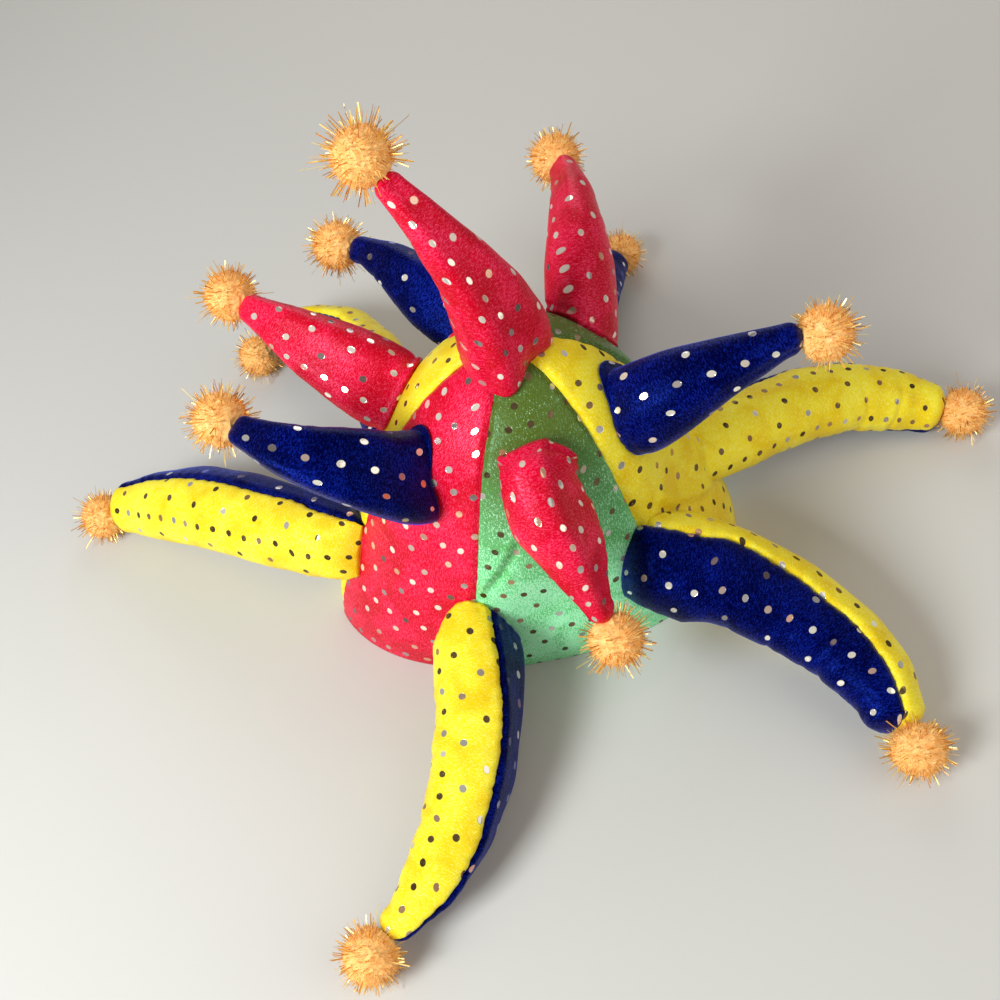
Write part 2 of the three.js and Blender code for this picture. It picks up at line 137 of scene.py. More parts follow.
# The horns' cloth
BASE_TUCK = 2.0 * MM
BASE_TUCK_WIDTH = 2.2 * MM
GATHER_DEPTH = {"lower": 0.7 * MM, "plain": 0.35 * MM}
GATHER_LENGTH = 8 * MM
GATHER_REACH = 7 * MM
GATHER_WANDER = 2
GATHER_WANDER_LENGTH = 25 * MM
HORN_SEAM_TUCK = {"lower": 1.5 * MM, "plain": 0.45 * MM}
HORN_SEAM_WIDTH = 1.5 * MM
HORN_PUCKER = {"lower": 0.5 * MM, "plain": 0.12 * MM}
HORN_WANDER_LENGTH = 12 * MM
BEND_WRINKLE = 1.0 * MM
BEND_WRINKLE_LENGTH = 13 * MM
BEND_WANDER = 1.6
BEND_FULL = 1 / 0.07
AXIS_NEAR = 0.9
LIP_HEIGHT = 1.5 * MM
LIP_GROOVE = 1.3 * MM
LIP_PLACE = 2.2 * MM
LIP_GROOVE_PLACE = 5.0 * MM
LIP_WIDTH = 1.2 * MM
LIP_PLAIN = 0.25
HORN_LIPS = {"upper_horn_front": 1.5, "upper_horn_left": 0.9, "upper_horn_back_right": 0.6}
# The corners that a horn's base is pulled out to: the angle round the horn and the corner's width
# in degrees, and how far it is raised off the horn and drawn back along the crown, in millimetres
HORN_CORNERS = {
    "top_horn": ((65, 32, 0.0, -6.0),),
    "upper_horn_front": ((25, 40, 5.0, 6.0), (60, 35, 1.0, 3.0), (175, 45, 5.0, -4.0)),
    "upper_horn_right": ((60, 45, 3.0, 9.0),),
    "upper_horn_left_front": ((160, 30, 6.0, 5.0), (0, 28, -3.0, 0.0)),
    "lower_horn_left_yellow": ((180, 75, 0.0, -14.0),),
    "lower_horn_left_blue": ((300, 30, 0.0, -8.0),),
    "lower_horn_front_yellow": ((190, 40, 0.0, -18.0),),
    "lower_horn_right_front_blue": ((40, 60, 0.0, -15.0),),
}
CORNER_LENGTH = 13 * MM
# The pile's ragged edge along a seam: the length and the height of each of its noises, a seed for
# the top seam and one for the bottom seam, and how fast it fades away from the seam
RAGGED_FORMS = ((0.9 * MM, 0.5 * MM), (2.6 * MM, 0.7 * MM))
RAGGED_SEEDS = (1.0, 9.0)
RAGGED_FADE = 6
STUFFING_LUMP = {"lower": 0.8 * MM, "plain": 0.5 * MM}
STUFFING_LUMP_LENGTH = 18 * MM

# What sets the noises of one piece apart from each other, and the two halves of a horn
NOISE_SHIFT = (7.3, 3.1, 5.7)
WAVE_SEED = 20
LUMP_SEED = 3
PUCKER_SEED = 5
YELLOW_SEED = 30

# The pompoms: a core with short fibre all over it, and flat tinsel strands that stand off it.
# Neither stands where the cosine of the angle from the horn is more than HORN_COSINE
POMPOM_CORE = 11.8 * MM
POMPOM_REACH = 0.85 * 12.5 * MM
CORE_DETAIL = 4
CORE_TUFT = 0.5 * MM
CORE_SHADE = 0.5
CORE_SHADE_CHANGE = 0.4
CORE_SHADE_LENGTH = 2.5 * MM
CORE_SHADE_SEED = 3
HORN_COSINE = 0.8
FIBRES = 2600
FIBRE_SPREAD = 0.03
FIBRE_ROOT = 10 * MM
FIBRE_END = (12.4 * MM, 14.0 * MM)
FIBRE_WIDTHS = (0.35 * MM, 0.6 * MM)
FIBRE_TILT = 0.3
FIBRE_SECTION = ((0.5, -0.3), (-0.5, -0.3), (0.0, 0.5))
STRANDS = 460
STRAND_SPREAD = 0.15
STRAND_ROOT = 10 * MM
STRAND_END = (13.2 * MM, 18.0 * MM)
STRAND_SHORTENING = 1.3
STRAND_WIDTHS = (0.3 * MM, 0.575 * MM)
STRAND_TILT = 0.22
STRAND_SECTION = ((0.5, 0.0), (-0.5, 0.0), (0.0, 0.35))
STRAY_SHARE = 0.02
STRAY_LENGTH = 5 * MM
FULLER_POMPOMS = {
    "pompom_top": 1.6,
    "pompom_upper_front": 1.4,
    "pompom_upper_back_left": 1.25,
    "pompom_upper_left_front": 1.25,
}
FLOOR_CLEARANCE = 0.3 * MM
RANDOM_SEED = 7

# The printed dots, in millimetres. They stand in rows of three kinds, each given as its number,
# how many columns lie between its dots, and the column of its first dot
DOT_COLUMN = 5.0
DOT_ROW = 10.0
DOT_ROWS = ((0, 2, 0), (1, 4, 1), (2, 4, 3))
DOT_RADIUS = 1.65
DOT_EDGE = 0.15
FOIL_METAL = 0.55
FOIL_TILT = 0.35
LIGHT_FOILS = (
    (0.0, (0.96, 0.90, 0.76)),
    (0.42, (0.88, 0.84, 0.74)),
    (0.55, (0.75, 0.40, 0.24)),
    (0.75, (0.50, 0.48, 0.46)),
    (1.0, (0.14, 0.10, 0.09)),
)
DARK_FOILS = (
    (0.0, (0.07, 0.045, 0.02)),
    (0.45, (0.16, 0.10, 0.05)),
    (0.62, (0.50, 0.28, 0.14)),
    (0.80, (0.42, 0.41, 0.38)),
    (1.0, (0.92, 0.88, 0.78)),
)

# The pile. Its lines run round a horn, in shares of a millimetre. A range gives two values of
# a noise, then what they are turned into
STRETCH = 5.0
STRETCH_LENGTH = 40 * MM
BRUSHED_LENGTH = 17 * MM
TUFT_LENGTH = 0.6 * MM
PILE_LINES = (1.5, 0.45, 0.0)
PILE_HEIGHT = 0.28 * MM
PILE_BUMP = 0.8
PILE_ROUGH = 0.6
BRUSHED_DISTORTION = 0.5
TUFT_SHARE = 0.45
LINE_SHARE = 0.55
BRUSHED_SHARE = 0.25
BRUSHED_STOPS = (0.36, 0.6)
LIGHT_RANGE = (0.62, 0.76, 0.0, 0.8)
WORN_RANGE = (0.66, 0.76, 0.0, 0.6)
PILE_ROUGHNESS = 0.42
GLOSS_GRAINS = (0.44, 0.58)
GLOSS_LEAST = 0.2
DOT_GRAIN = 0.15
SHEEN_ROUGHNESS = 0.3
# Painted shade and light for a cloth with a colour for high up: between these heights its colour turns into
# that painted shade colour, the heights shift by the brushed noise times this length, and the share of light
# grains is raised by the lift low down, as painted light, and lowered by it high up
PAINTED_SHADE_HEIGHTS = (60 * MM, 150 * MM)
PAINTED_SHADE_WANDER = 30 * MM
PAINTED_LIGHT_LIFT = 0.09

# Each cloth's colours where the pile lies down, between and where it stands, its foils, how far apart
# its dots are, the colour and weight of its sheen, its gloss, and the colour of painted shade high up
CLOTHS = {
    "red_velour": ((0.56, 0.0, 0.012), (0.70, 0.0, 0.03), (0.92, 0.05, 0.14),
                   LIGHT_FOILS, 1.0, (1.0, 0.3, 0.5), 0.06, 0.9),
    # The green velour's last colour is painted shade, dark olive high on the crown, and low down it is painted
    # lighter
    "green_velour": ((0.10, 0.58, 0.17), (0.17, 0.84, 0.34), (0.52, 1.0, 0.64),
                     DARK_FOILS, 1.0, (0.5, 1.0, 0.7), 0.15, 0.9, (0.08, 0.125, 0.01)),
    "yellow_velour": ((0.84, 0.60, 0.006), (0.92, 0.76, 0.012), (0.97, 0.92, 0.15),
                      DARK_FOILS, 1.05, (1.0, 0.97, 0.6), 0.04, 0.5),
    "blue_velour": ((0.0, 0.0, 0.022), (0.0, 0.0005, 0.042), (0.003, 0.012, 0.24),
                    LIGHT_FOILS, 1.3, (0.03, 0.10, 1.0), 0.5, 0.6),
}

# The tinsel's speckle, where along its shades its dark, middle and bright colours are, and
# those colours with the metal and the roughness
SPECKLE_LENGTH = 0.8 * MM
SPECKLE_SHARE = 0.3
TINSEL_STOPS = (0.12, 0.5, 0.85)
TINSELS = {
    "tinsel_strands": (((0.45, 0.15, 0.02), (0.95, 0.50, 0.08), (1.0, 0.86, 0.36)), 0.5, 0.3),
    "tinsel_core": (((0.88, 0.36, 0.08), (1.0, 0.55, 0.17), (1.0, 0.78, 0.38)), 0.0, 0.75),
}

# The stage. A light has its place, the height that it aims at, its size, its watts and its colour
FLOOR_HALF = 4.0
FLOOR_COLOR = (0.60, 0.59, 0.57, 1)
FLOOR_ROUGHNESS = 0.9
WORLD_COLOR = (1.0, 0.95, 0.88, 1)
WORLD_STRENGTH = 0.3
LIGHTS = {
    "key": ((-0.80, -0.60, 0.76), 0.05, 0.45, 16, (0.95, 1.0, 1.0)),
    "fill": ((0.9, -0.6, 0.8), 0.05, 1.2, 5.0, (1.0, 0.93, 0.84)),
    "back": ((0.2, 1.1, 0.8), 0.1, 0.8, 4, (1.0, 0.98, 0.95)),
}

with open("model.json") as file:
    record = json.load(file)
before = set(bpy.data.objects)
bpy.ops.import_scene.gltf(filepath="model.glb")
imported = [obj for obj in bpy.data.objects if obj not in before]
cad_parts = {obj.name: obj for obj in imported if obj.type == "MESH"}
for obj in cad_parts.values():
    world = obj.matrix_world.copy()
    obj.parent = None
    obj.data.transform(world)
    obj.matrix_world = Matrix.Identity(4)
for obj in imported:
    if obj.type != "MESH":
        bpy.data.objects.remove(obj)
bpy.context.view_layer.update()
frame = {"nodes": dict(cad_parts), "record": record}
slots = {part["node"]: part["material_slot"] for part in frame["record"]["subparts"]}


def triangles_of(name):
    """The corners of every triangle of a CAD node."""
    mesh = frame["nodes"][name].data
    corners = np.array([v.co for v in mesh.vertices])
    return corners[[list(face.vertices) for face in mesh.polygons]]


def tree_of(triangles):
    """A tree for rays and nearest points."""
    corners = [Vector(corner) for corner in triangles.reshape(-1, 3)]
    return BVHTree.FromPolygons(corners, [(i, i + 1, i + 2) for i in range(0, len(corners), 3)])


def smoothed(values, sigma, axis=0, edges="edge"):
    """Values smoothed along one axis; edges is edge, wrap or odd, which keeps the ends in place."""
    reach = max(1, int(3 * sigma))
    kernel = np.exp(-0.5 * (np.arange(-reach, reach + 1) / sigma) ** 2)
    kernel /= kernel.sum()
    values = np.moveaxis(values, axis, 0)
    ways = {"mode": "reflect", "reflect_type": "odd"} if edges == "odd" else {"mode": edges}
    padded = np.pad(values, [(reach, reach)] + [(0, 0)] * (values.ndim - 1), **ways)
    total = sum(weight * padded[i:i + len(values)] for i, weight in enumerate(kernel))
    return np.moveaxis(total, 0, axis)


def unit(vectors):
    """The vectors at length one."""
    return vectors / np.linalg.norm(vectors, axis=-1, keepdims=True)


def bumps(points, length, seed):
    """Smooth noise from -1 to 1 at the points, with lumps of about the given length."""
    shift = Vector([seed * step for step in NOISE_SHIFT])
    flat = points.reshape(-1, 3) / length
    found = [noise.noise(Vector(place) + shift) for place in flat]
    return np.array(found).reshape(points.shape[:-1])


def ripples(along, length, wander):
    """Folds that lie side by side, from 0 to 1; wander shifts them."""
    return (0.5 - 0.5 * np.cos(2 * math.pi * along / length + wander)) ** RIPPLE_SHARPNESS


def between(places, steps, rows):
    """Points or directions given at steps, between the steps."""
    return np.stack([np.interp(places, steps, rows[:, i]) for i in range(3)], axis=-1)


def between_cells(grid, row, column):
    """A grid's values between its rows and its columns, which close on themselves."""
    r, c = np.floor(row).astype(int), np.floor(column).astype(int)
    u, v = row - r, column - c
    c %= grid.shape[1]
    beside = (c + 1) % grid.shape[1]
    near = grid[r, c] * (1 - v) + grid[r, beside] * v
    far = grid[r + 1, c] * (1 - v) + grid[r + 1, beside] * v
    return near * (1 - u) + far * u


# The crown, measured on its gores
gore_names = [name for name in frame["nodes"] if name.startswith("gore_")]
gore_triangles = [triangles_of(name) for name in gore_names]
gore_of_face = np.concatenate([np.full(len(t), i) for i, t in enumerate(gore_triangles)])
crown_triangles = np.concatenate(gore_triangles)
crown_tree = tree_of(crown_triangles)
crown_corners = crown_triangles.reshape(-1, 3)
rim_corners = crown_corners[crown_corners[:, 2] < MM]
rim_middle = np.append((rim_corners.min(0) + rim_corners.max(0))[:2] / 2, 0)


def outward(azimuth, elevation):
    """The direction at an azimuth from the front towards +X and an elevation, in degrees."""
    a, e = np.radians(azimuth), np.radians(elevation)
    return np.stack([np.sin(a) * np.cos(e), -np.cos(a) * np.cos(e), np.sin(e) + 0 * a], axis=-1)


def crown_hit(azimuth, elevation):
    """How far the crown's outside lies from the rim's middle, and in which gore, or 0 and -1."""
    along = Vector(outward(azimuth, elevation))
    start = Vector(rim_middle) + along * CROWN_REACH
    place, _, face, distance = crown_tree.ray_cast(start, -along)
    if place is None or distance > CROWN_REACH:
        return 0.0, -1
    return CROWN_REACH - distance, gore_of_face[face]


def measure_crown():
    """The crown's radius and gore at each degree of elevation and azimuth."""
    radius = np.zeros((CROWN_ELEVATIONS + 1, CROWN_AZIMUTHS))
    gore = np.full(radius.shape, -1)
    for elevation in range(CROWN_ELEVATIONS + 1):
        for azimuth in range(CROWN_AZIMUTHS):
            hits = [crown_hit(azimuth + shift, elevation) for shift in CROWN_RAY_SHIFTS]
            radius[elevation, azimuth], gore[elevation, azimuth] = max(hits, key=lambda hit: hit[0])
    for elevation in range(1, CROWN_ELEVATIONS + 1):
        hollow = radius[elevation] < CROWN_STEP_IN * radius[elevation - 1]
        radius[elevation, hollow] = radius[elevation - 1, hollow]
        gore[elevation, hollow] = gore[elevation - 1, hollow]
    radius = smoothed(radius, CROWN_SMOOTHING, axis=0, edges="odd")
    radius = smoothed(radius, CROWN_SMOOTHING, axis=1, edges="wrap")
    return radius, gore


crown_radii, crown_gores = measure_crown()


def crown_radius(azimuth, elevation):
    """The crown's radius between the measured degrees."""
    row = np.clip(elevation, 0, CROWN_ELEVATIONS - JUST_UNDER)
    return between_cells(crown_radii, row, np.mod(azimuth, CROWN_AZIMUTHS))


def crown_clearance(points):
    """How far points lie outside the crown, along the line from the rim's middle."""
    away = points - rim_middle
    distance = np.linalg.norm(away, axis=-1)
    azimuth = np.degrees(np.arctan2(away[..., 0], -away[..., 1]))
    elevation = np.degrees(np.arcsin(np.clip(away[..., 2] / distance, -1, 1)))
    return distance - crown_radius(azimuth, elevation)


def turned_down(points, from_base):
    """A horn's points with its edge turned down onto the crown and nowhere thinner than doubled cloth."""
    clear = crown_clearance(points)
    turn = np.clip(clear[0] + HORN_SINK, EDGE_TURN, EDGE_TURN_MOST)
    turned = 1 - np.clip(from_base / turn, 0, 1)
    profile = np.sqrt(1 - turned ** 2)
    wanted = (np.maximum(clear, EDGE_THICK) + HORN_SINK) * profile - HORN_SINK
    return points + (wanted - clear)[..., None] * unit(points - rim_middle)


def seam_azimuths():
    """For each gore, in order round the crown, its name and the azimuths of its two seams by elevation."""
    rows = np.arange(0, SEAM_TOP_ELEVATION, SEAM_STEP)
    changes = np.flatnonzero(crown_gores[0] != np.roll(crown_gores[0], 1))
    seams = []
    for change in changes:
        line, last, after = [], float(change), crown_gores[0, change]
        for row in rows:
            near = [int(round(last)) + step for step in range(-SEAM_WINDOW, SEAM_WINDOW + 1)]
            ring = [crown_gores[row, place % CROWN_AZIMUTHS] for place in near]
            starts = [place for place, one, two in zip(near[1:], ring, ring[1:]) if two == after != one]
            low = float(min(starts, key=lambda place: abs(place - last))) - 1
            high = low + 1
            for _ in range(SEAM_SEARCHES):
                middle = (low + high) / 2
                if crown_hit(middle, row)[1] == after:
                    high = middle
                else:
                    low = middle
            last = (low + high) / 2
            line.append(last)
        curve = np.polynomial.Polynomial.fit(rows, line, SEAM_CURVE_DEGREE)
        seams.append((gore_names[after], curve))
    return seams


def seam_at(curve, elevation):
    """A seam's azimuth; above the last row that could be measured it keeps its azimuth."""
    return curve(np.minimum(elevation, SEAM_TOP_ELEVATION - SEAM_STEP))


def new_piece(name, points, faces, uvs, material, smooth=True):
    """A mesh piece with cloth coordinates in millimetres, one pair for each corner of each face."""
    mesh = bpy.data.meshes.new(name)
    mesh.from_pydata(points.tolist(), [], faces, shade_flat=not smooth)
    if uvs is not None:
        layer = mesh.uv_layers.new(name="cloth")
        layer.data.foreach_set("uv", np.asarray(uvs, dtype=np.float32).ravel())
    mesh.materials.append(material)
    piece = bpy.data.objects.new(name, mesh)
    bpy.context.scene.collection.objects.link(piece)
    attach(piece, "root")
    return piece


class Graph:
    """A material's nodes, with short calls for the ones that repeat. A value is a number or a socket."""

    def __init__(self, name):
        self.material = bpy.data.materials.new(name)
        self.material.use_nodes = True
        self.tree = self.material.node_tree
        self.shader = self.tree.nodes["Principled BSDF"]

    def add(self, kind, **settings):
        node = self.tree.nodes.new(kind)
        for key, value in settings.items():
            setattr(node, key, value)
        return node

    def put(self, value, socket):
        """Link a socket's value, or set a plain one."""
        if isinstance(value, bpy.types.NodeSocket):
            self.tree.links.new(value, socket)
        else:
            socket.default_value = value

    def fill(self, node, values):
        """Put values into a node's inputs, by their names or numbers."""
        for name, value in values.items():
            self.put(value, node.inputs[name])

    def of(self, kind, values, **settings):
        """The first output of a new node whose first inputs get the values."""
        node = self.add(kind, **settings)
        self.fill(node, dict(enumerate(values)))
        return node.outputs[0]

    def math(self, operation, *values, clamp=False):
        return self.of("ShaderNodeMath", values, operation=operation, use_clamp=clamp)

    def vector(self, operation, *values):
        return self.of("ShaderNodeVectorMath", values, operation=operation)

    def combine(self, x, y, z):
        return self.of("ShaderNodeCombineXYZ", (x, y, z))

    def split(self, vector):
        node = self.add("ShaderNodeSeparateXYZ")
        self.put(vector, node.inputs[0])
        return node.outputs

    def noise(self, place, length, detail=2.0, roughness=0.5, distortion=0.0, output="Fac"):
        node = self.add("ShaderNodeTexNoise")
        self.fill(node, {"Vector": place, "Scale": 1 / length, "Detail": detail,
                         "Roughness": roughness, "Distortion": distortion})
        return node.outputs[output]

    def ramp(self, value, *stops):
        node = self.add("ShaderNodeValToRGB")
        elements = node.color_ramp.elements
        while len(elements) < len(stops):
            elements.new(0.5)
        for element, (place, color) in zip(elements, stops):
            element.position = place
            element.color = (*color, 1)
        self.put(value, node.inputs["Fac"])
        return node.outputs["Color"]

    def mix(self, share, one, two):
        """A mix of two colours, which this node takes at inputs 6 and 7 and gives at output 2."""
        node = self.add("ShaderNodeMix", data_type="RGBA")
        self.fill(node, {0: share, 6: one, 7: two})
        return node.outputs[2]

    def range(self, value, low, high, to_low=0.0, to_high=1.0):
        return self.of("ShaderNodeMapRange", (value, low, high, to_low, to_high))


def foil_dots(graph, cloth, spacing):
    """The dots' mask and each dot's own random values, from cloth coordinates in millimetres."""
    x, y, _ = graph.split(cloth)
    wide, high = DOT_COLUMN * spacing, DOT_ROW * spacing
    column = graph.math("ROUND", graph.math("DIVIDE", x, wide))
    row = graph.math("ROUND", graph.math("DIVIDE", y, high))
    off_x = graph.math("SUBTRACT", x, graph.math("MULTIPLY", column, wide))
    off_y = graph.math("SUBTRACT", y, graph.math("MULTIPLY", row, high))
    there = 0.0
    for which_row, columns, which_column in DOT_ROWS:
        row_kind = graph.math("FLOORED_MODULO", row, float(len(DOT_ROWS)))
        place = graph.math("FLOORED_MODULO", column, float(columns))
        in_row = graph.math("COMPARE", row_kind, float(which_row), 0.5)
        in_column = graph.math("COMPARE", place, float(which_column), 0.5)
        there = graph.math("ADD", there, graph.math("MULTIPLY", in_row, in_column))
    distance = graph.math("SQRT", graph.math("ADD", graph.math("MULTIPLY", off_x, off_x),
                                             graph.math("MULTIPLY", off_y, off_y)))
    inside = graph.range(distance, DOT_RADIUS + DOT_EDGE, DOT_RADIUS - DOT_EDGE)
    random = graph.add("ShaderNodeTexWhiteNoise", noise_dimensions="2D")
    graph.put(graph.combine(column, row, 0.0), random.inputs["Vector"])
    return graph.math("MULTIPLY", inside, there, clamp=True), random.outputs


def velour(name, shade, body, light, foils, spacing, sheen, sheen_weight, gloss, high=None):
    """Short-pile velour with printed foil dots: deep where the pile lies down, light where it stands, and with
    painted shade high up when a high colour is given.
    """
    graph = Graph(name)
    place = graph.add("ShaderNodeTexCoord").outputs["Object"]
    cloth = graph.add("ShaderNodeUVMap", uv_map="cloth").outputs[0]
    stretch = graph.noise(place, STRETCH_LENGTH, output="Color")
    moved = graph.vector("SUBTRACT", stretch, (0.5, 0.5, 0.5))
    warped = graph.vector("ADD", cloth, graph.vector("MULTIPLY", moved, (STRETCH, STRETCH, 0.0)))
    dots, random = foil_dots(graph, warped, spacing)

    brushed = graph.noise(place, BRUSHED_LENGTH, distortion=BRUSHED_DISTORTION)
    tufts = graph.noise(place, TUFT_LENGTH, detail=1.0, roughness=PILE_ROUGH)
    lines = graph.noise(graph.vector("MULTIPLY", cloth, PILE_LINES), 1.0, roughness=PILE_ROUGH)
    tufted, lined = graph.math("MULTIPLY", tufts, TUFT_SHARE), graph.math("MULTIPLY", lines, LINE_SHARE)
    grain = graph.math("ADD", tufted, lined)
    deep = graph.ramp(brushed, *zip(BRUSHED_STOPS, (shade, body)))
    stands = graph.math("ADD", grain, graph.math("MULTIPLY", brushed, BRUSHED_SHARE))
    # Painted shade and light: higher up the colour turns to the given dark colour and fewer light grains
    # stand; lower down more light grains stand
    if high:
        height = graph.split(place)[2]
        rise = graph.math("ADD", height, graph.math("MULTIPLY", brushed, PAINTED_SHADE_WANDER))
        painted_shade_share = graph.range(rise, *PAINTED_SHADE_HEIGHTS)
        deep = graph.mix(painted_shade_share, deep, (*high, 1))
        stands = graph.math("ADD", stands, graph.range(painted_shade_share, 0.0, 1.0, PAINTED_LIGHT_LIFT, -PAINTED_LIGHT_LIFT))
    pile = graph.mix(graph.range(stands, *LIGHT_RANGE), deep, (*light, 1))

    foil = graph.ramp(random["Value"], *foils)
    worn = graph.range(tufts, *WORN_RANGE)
    foiled = graph.math("MULTIPLY", dots, graph.math("SUBTRACT", 1.0, worn), clamp=True)
    tilt = graph.vector("SUBTRACT", random["Color"], (0.5, 0.5, 0.5))
    tilt = graph.vector("MULTIPLY", tilt, graph.math("MULTIPLY", foiled, FOIL_TILT))
    facing = graph.add("ShaderNodeNewGeometry").outputs["Normal"]
    bump = graph.add("ShaderNodeBump")
    graph.fill(bump, {
        "Strength": PILE_BUMP,
        "Distance": PILE_HEIGHT,
        "Height": graph.math("MULTIPLY", grain, graph.range(dots, 0.0, 1.0, 1.0, DOT_GRAIN)),
        "Normal": graph.vector("NORMALIZE", graph.vector("ADD", facing, tilt)),
    })
    graph.fill(graph.shader, {
        "Base Color": graph.mix(foiled, pile, foil),
        "Metallic": graph.math("MULTIPLY", foiled, FOIL_METAL),
        "Roughness": graph.math("MULTIPLY", graph.math("SUBTRACT", 1.0, foiled), PILE_ROUGHNESS),
        "Normal": bump.outputs[0],
        "Sheen Weight": sheen_weight,
        "Sheen Roughness": SHEEN_ROUGHNESS,
        "Sheen Tint": (*sheen, 1),
        "Specular IOR Level": graph.range(grain, *GLOSS_GRAINS, GLOSS_LEAST * gloss, gloss),
        "Specular Tint": (*sheen, 1),
    })
    return graph.material


def tinsel(name, colors, metallic, roughness):
    """Tinsel fibre: each strand has its own shade, kept in the mesh as strand_shade."""
    graph = Graph(name)
    shade = graph.add("ShaderNodeAttribute", attribute_name="strand_shade").outputs["Fac"]
    speckle = graph.noise(graph.add("ShaderNodeTexCoord").outputs["Object"], SPECKLE_LENGTH)
    shade = graph.math("MULTIPLY", shade, 1 - SPECKLE_SHARE)
    mixed = graph.math("ADD", shade, graph.math("MULTIPLY", speckle, SPECKLE_SHARE))
    graph.fill(graph.shader, {
        "Base Color": graph.ramp(mixed, *zip(TINSEL_STOPS, colors)),
        "Metallic": metallic,
        "Roughness": roughness,
    })
    return graph.material


VELOURS = {name: velour(name, *look) for name, look in CLOTHS.items()}
TINSEL, FIBRE = (tinsel(name, *look) for name, look in TINSELS.items())


def cloth_piece(name, points, faces, uvs):
    """A cloth piece that stands for a node, in the velour of the node's slot."""
    piece = new_piece("cloth_" + name, points, faces, uvs, VELOURS[slots[name]])
    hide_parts(name)
    return piece


def tube_sides(rows, columns, uv_rows):
    """Faces and cloth coordinates between rings of points."""
    faces, uvs = [], []
    for row in range(rows - 1):
        for column in range(columns):
            corners = ((row, column), (row, column + 1), (row + 1, column + 1), (row + 1, column))
            faces.append(tuple(r * columns + c % columns for r, c in corners))
            uvs.extend(uv_rows[corner] for corner in corners)
    return faces, uvs


def closed_tube(rings, uv_rows):
    """Points, faces and cloth coordinates of a tube of rings, closed by a middle point at both ends."""
    rows, columns = rings.shape[:2]
    points = np.concatenate([rings.reshape(-1, 3), rings[0].mean(0)[None], rings[-1].mean(0)[None]])
    faces, uvs = tube_sides(rows, columns, uv_rows)
    for row, middle, turned in ((0, rows * columns, True), (rows - 1, rows * columns + 1, False)):
        for column in range(columns):
            pair = [(row, column), (row, column + 1)]
            if turned:
                pair.reverse()
            faces.append((*(r * columns + c % columns for r, c in pair), middle))
            uvs.extend([uv_rows[pair[0]], uv_rows[pair[1]], uv_rows[row].mean(0)])
    return points, faces, uvs


def seam_side_columns(count):
    """Shares across a panel, closer together at its two seams."""
    even = np.linspace(0, 1, count)
    return even - SEAM_CROWDING * np.sin(2 * math.pi * even)


def crown_folds(azimuth, elevation, radius):
    """How far the crown's folds and puffs stand off it."""
    def flat(middle, height):
        level = np.radians(np.mod(azimuth - middle + 180, 360) - 180) * np.cos(np.radians(height))
        return level * radius / MM, np.radians(elevation - height) * radius / MM

    total = 0 * radius
    for middle, height, heading, length, width, raised in CROWN_FOLDS:
        level, up = flat(middle, height)
        turn = math.radians(heading)
        along = level * math.cos(turn) + up * math.sin(turn)
        off = (up * math.cos(turn) - level * math.sin(turn)) / width
        total = total + raised * 2 * off * np.exp(-off ** 2 - (2 * along / length) ** 4)
    for middle, height, reach, raised in CROWN_PUFFS:
        level, up = flat(middle, height)
        total = total + raised * np.exp(-(level ** 2 + up ** 2) / reach ** 2)
    return total * MM


def gore_piece(name, first, second, seed):
    """One gore: an outside with tucked seams, puckers and waves, and a plain inside."""
    elevations = np.linspace(0, GORE_TOP_ELEVATION, GORE_ROWS)[:, None]
    shares = seam_side_columns(GORE_COLUMNS)[None]
    start, end = seam_at(first, elevations), seam_at(second, elevations)
    end = end + CROWN_AZIMUTHS * (end < start)
    azimuth = start + (end - start) * shares
    elevation = elevations + 0 * azimuth
    radius = crown_radius(azimuth, elevation)
    level = radius * np.cos(np.radians(elevation))
    width = level * np.radians(end - start)
    seam_distance = np.minimum(shares, 1 - shares) * width
    azimuth = azimuth + np.degrees(SEAM_HALF_GAP / np.maximum(level, GORE_LEVEL_LEAST)) * (1 - 2 * shares)
    directions = outward(azimuth, elevation)
    surface = rim_middle + radius[..., None] * directions
    along = np.radians(elevation) * radius.mean()
    wander = PUCKER_WANDER * bumps(surface, GORE_WANDER_LENGTH, seed)
    tuck = SEAM_TUCK * np.exp(-(seam_distance / SEAM_TUCK_WIDTH) ** 2)
    pucker = PUCKER_HEIGHT * ripples(along, PUCKER_LENGTH, wander) * np.exp(-seam_distance / PUCKER_REACH)
    wave = GORE_WAVE * bumps(surface, GORE_WAVE_LENGTH, seed + WAVE_SEED)
    outside = radius - tuck - pucker + wave + crown_folds(azimuth, elevation, radius)
    outer = rim_middle + outside[..., None] * directions
    inner_radius = np.minimum(outside, radius) - CLOTH
    inner = rim_middle + inner_radius[..., None] * directions
    outer[0, :, 2] = 0
    inner[0, :, 2] = 0
    rings = np.concatenate([outer, inner[:, ::-1]], axis=1)
    across = (shares - 0.5) * width
    steps = np.linalg.norm(np.diff(outer[:, GORE_COLUMNS // 2], axis=0), axis=-1)
    rise = np.append(0, np.cumsum(steps))
    uv_outer = np.stack([across, rise[:, None] + 0 * across], axis=-1) / MM + seed * GORE_CLOTH_SHIFT
    uv_rows = np.concatenate([uv_outer, uv_outer[:, ::-1], uv_outer[:, :1]], axis=1)
    rows, columns = rings.shape[:2]
    faces, uvs = tube_sides(rows, columns, uv_rows)
    ends = gore_ends(rows, columns)
    cloth_piece(name, rings.reshape(-1, 3), faces + ends, uvs + [(0.0, 0.0)] * 4 * len(ends))


def gore_ends(rows, columns):
    """The faces, of four corners each, that close a gore's bottom and top."""
    faces = []
    for row, turned in ((0, True), (rows - 1, False)):
        for column in range(GORE_COLUMNS - 1):
            far = columns - 1 - column
            corners = [column, column + 1, far - 1, far]
            if turned:
                corners.reverse()
            faces.append(tuple(row * columns + corner for corner in corners))
    return faces


